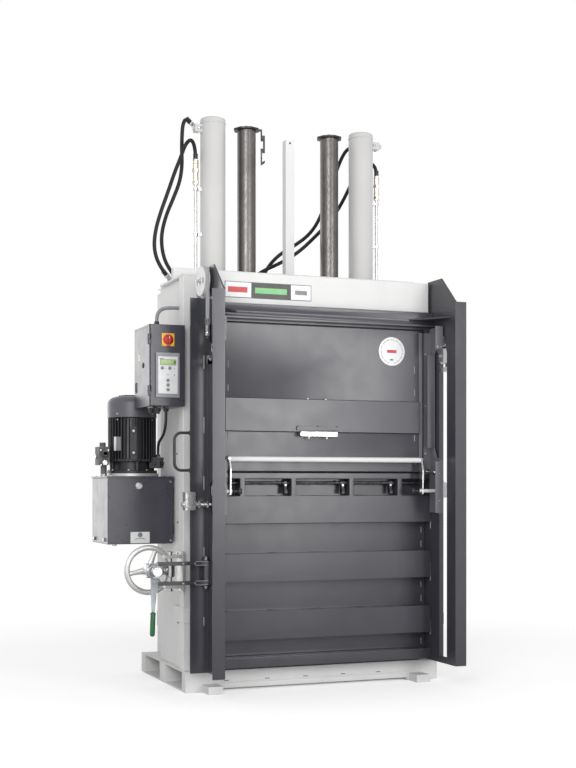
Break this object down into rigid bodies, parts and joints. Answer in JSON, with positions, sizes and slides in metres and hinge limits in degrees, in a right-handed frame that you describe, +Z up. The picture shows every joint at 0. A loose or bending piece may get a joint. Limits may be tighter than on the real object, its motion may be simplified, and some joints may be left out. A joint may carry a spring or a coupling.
{
  "type": "recycling baler",
  "caption": "Upright baler press: white frame, twin top cylinders and guide columns, dark hinged bale door with sliding loading door, side lock wheel, control box and power pack.",
  "frame": {"origin": "On the floor under the middle of the base frame.", "axes": "+X to the right of a person facing the doors, +Y to the back (the doors face -Y), +Z up along the guide columns."},
  "size_m": [1.772, 1.205, 2.98],
  "materials": {
    "white_paint": "light grey-white powder coat, satin",
    "cylinder_paint": "light grey enamel, satin",
    "dark_paint": "dark slate grey powder coat, satin",
    "platen_paint": "dark grey paint, worn satin",
    "column_steel": "ground steel bar, oiled",
    "rod_chrome": "hard chrome plated bar",
    "plated_steel": "zinc plated steel",
    "dark_steel": "blackened steel",
    "hose_rubber": "black hose rubber",
    "cable_sheath": "black cable sheath",
    "motor_paint": "near-black enamel",
    "cowl_paint": "near-black enamel",
    "flange_metal": "bare cast aluminium",
    "tank_paint": "dark slate grey paint",
    "box_paint": "mid grey enclosure paint",
    "box_door_paint": "dark slate grey paint",
    "board_plastic": "galvanised plate with grey components",
    "keypad_face": "grey and white foil",
    "switch_yellow": "yellow switch plate",
    "switch_red": "red switch knob",
    "name_white": "plain colour fields with a dark edge",
    "wheel_metal": "cast light alloy, satin",
    "lever_steel": "zinc plated forging",
    "grip_green": "green moulded grip",
    "belt_fabric": "grey woven flat belt",
    "weight_iron": "bare cast iron",
    "pulley_white": "off-white nylon",
    "stud_nylon": "grey nylon slides and plated pins",
    "bush_bronze": "bronze guide bushes"
  },
  "bodies": {
    "housing": {"base_frame": "white_paint", "side_frame_left": "white_paint", "side_frame_right": "white_paint", "rear_wall": "white_paint", "top_crosshead": "white_paint", "name_plate": "name_white", "cylinder_left": "cylinder_paint", "cylinder_right": "cylinder_paint", "pressure_pipework": "plated_steel", "guide_bushes": "bush_bronze", "switch_mast": "white_paint", "hose_left_inner": "hose_rubber", "hose_left_outer": "hose_rubber", "hose_right_upper": "hose_rubber", "hose_right_lower": "hose_rubber", "hose_ends": "plated_steel", "hinge_brackets": "white_paint", "pivot_pins": "plated_steel", "lock_bracket": "white_paint", "control_box": "box_paint", "control_board": "board_plastic", "control_cables": "cable_sheath", "cable_glands": "dark_steel", "oil_tank": "tank_paint", "tank_lid": "tank_paint", "motor_body": "motor_paint", "motor_cowl": "cowl_paint", "motor_flange": "flange_metal", "valve_block": "plated_steel"},
    "bale_door": {"upright_left": "dark_paint", "upright_right": "dark_paint", "door_panel": "dark_paint", "top_rail": "dark_paint", "pull_handle": "dark_paint", "lock_lugs": "dark_paint", "side_stops": "plated_steel", "pulley_axles": "plated_steel", "belts": "belt_fabric"},
    "loading_door": {"loading_panel": "dark_paint", "carriages": "dark_paint", "guide_studs": "stud_nylon", "belt_clamps": "plated_steel", "door_handle": "white_paint"},
    "push_bar": {"push_bar": "white_paint"},
    "pulleys": {"pulleys": "pulley_white"},
    "counterweights": {"counterweights": "weight_iron"},
    "bale_claws": {"bale_claws": "dark_steel"},
    "platen": {"platen": "platen_paint", "piston_rods": "rod_chrome", "guide_columns": "column_steel", "column_caps": "dark_steel"},
    "control_door": {"control_door": "box_door_paint", "keypad": "keypad_face", "switch_plate": "switch_yellow"},
    "switch_knob": {"switch_knob": "switch_red"},
    "lock_arm": {"lock_arm": "plated_steel"},
    "handwheel": {"handwheel": "wheel_metal"},
    "lock_screw": {"lock_screw": "plated_steel"},
    "ratchet_lever": {"ratchet_lever": "lever_steel", "lever_grip": "grip_green"}
  },
  "joints": [
    {"name": "bale_door_hinge", "type": "hinge", "parent": "housing", "child": "bale_door", "pos_m": [0.7, -0.44, 1.03], "axis": [0, 0, 1], "range_deg": [0, 120]},
    {"name": "loading_door_slide", "type": "slide", "parent": "bale_door", "child": "loading_door", "axis": [0, 0, -1], "range_m": [0, 0.74], "deforming": ["belts"]},
    {"name": "push_bar_hinge", "type": "hinge", "parent": "loading_door", "child": "push_bar", "pos_m": [0, -0.584, 1.005], "axis": [1, 0, 0], "range_deg": [0, 25]},
    {"name": "counterweight_slide", "type": "slide", "parent": "bale_door", "child": "counterweights", "axis": [0, 0, 1], "range_m": [0, 0.74]},
    {"name": "pulley_spin", "type": "hinge", "parent": "bale_door", "child": "pulleys", "pos_m": [0, -0.542, 2.032], "axis": [1, 0, 0], "range_deg": [0, 600]},
    {"name": "claw_pivot", "type": "hinge", "parent": "bale_door", "child": "bale_claws", "pos_m": [0, -0.48, 1.046], "axis": [1, 0, 0], "range_deg": [-15, 10]},
    {"name": "platen_stroke", "type": "slide", "parent": "housing", "child": "platen", "axis": [0, 0, -1], "range_m": [0, 0.75]},
    {"name": "control_door_hinge", "type": "hinge", "parent": "housing", "child": "control_door", "pos_m": [-0.888, -0.4245, 1.627], "axis": [0, 0, 1], "range_deg": [-110, 0]},
    {"name": "main_switch_turn", "type": "hinge", "parent": "control_door", "child": "switch_knob", "pos_m": [-0.795, -0.445, 1.752], "axis": [0, 1, 0], "range_deg": [0, 90]},
    {"name": "lock_arm_swing", "type": "hinge", "parent": "housing", "child": "lock_arm", "pos_m": [-0.77, -0.385, 0.612], "axis": [0, 0, 1], "range_deg": [-22, 0]},
    {"name": "handwheel_turn", "type": "hinge", "parent": "lock_arm", "child": "handwheel", "pos_m": [-0.865, -0.33, 0.612], "axis": [0, 1, 0], "range_deg": [0, 2160]},
    {"name": "lock_screw_travel", "type": "slide", "parent": "lock_arm", "child": "lock_screw", "axis": [0, -1, 0], "range_m": [0, 0.036]},
    {"name": "ratchet_lever_swing", "type": "hinge", "parent": "lock_arm", "child": "ratchet_lever", "pos_m": [-0.865, -0.44, 0.612], "axis": [0, 1, 0], "range_deg": [-25, 60]}
  ],
  "couplings": [
    {"joint": "counterweight_slide", "follows": "loading_door_slide", "ratio": 1},
    {"joint": "pulley_spin", "follows": "loading_door_slide", "rad_per_m": 13.928},
    {"joint": "lock_screw_travel", "follows": "handwheel_turn", "m_per_rad": 0.0009549}
  ]
}
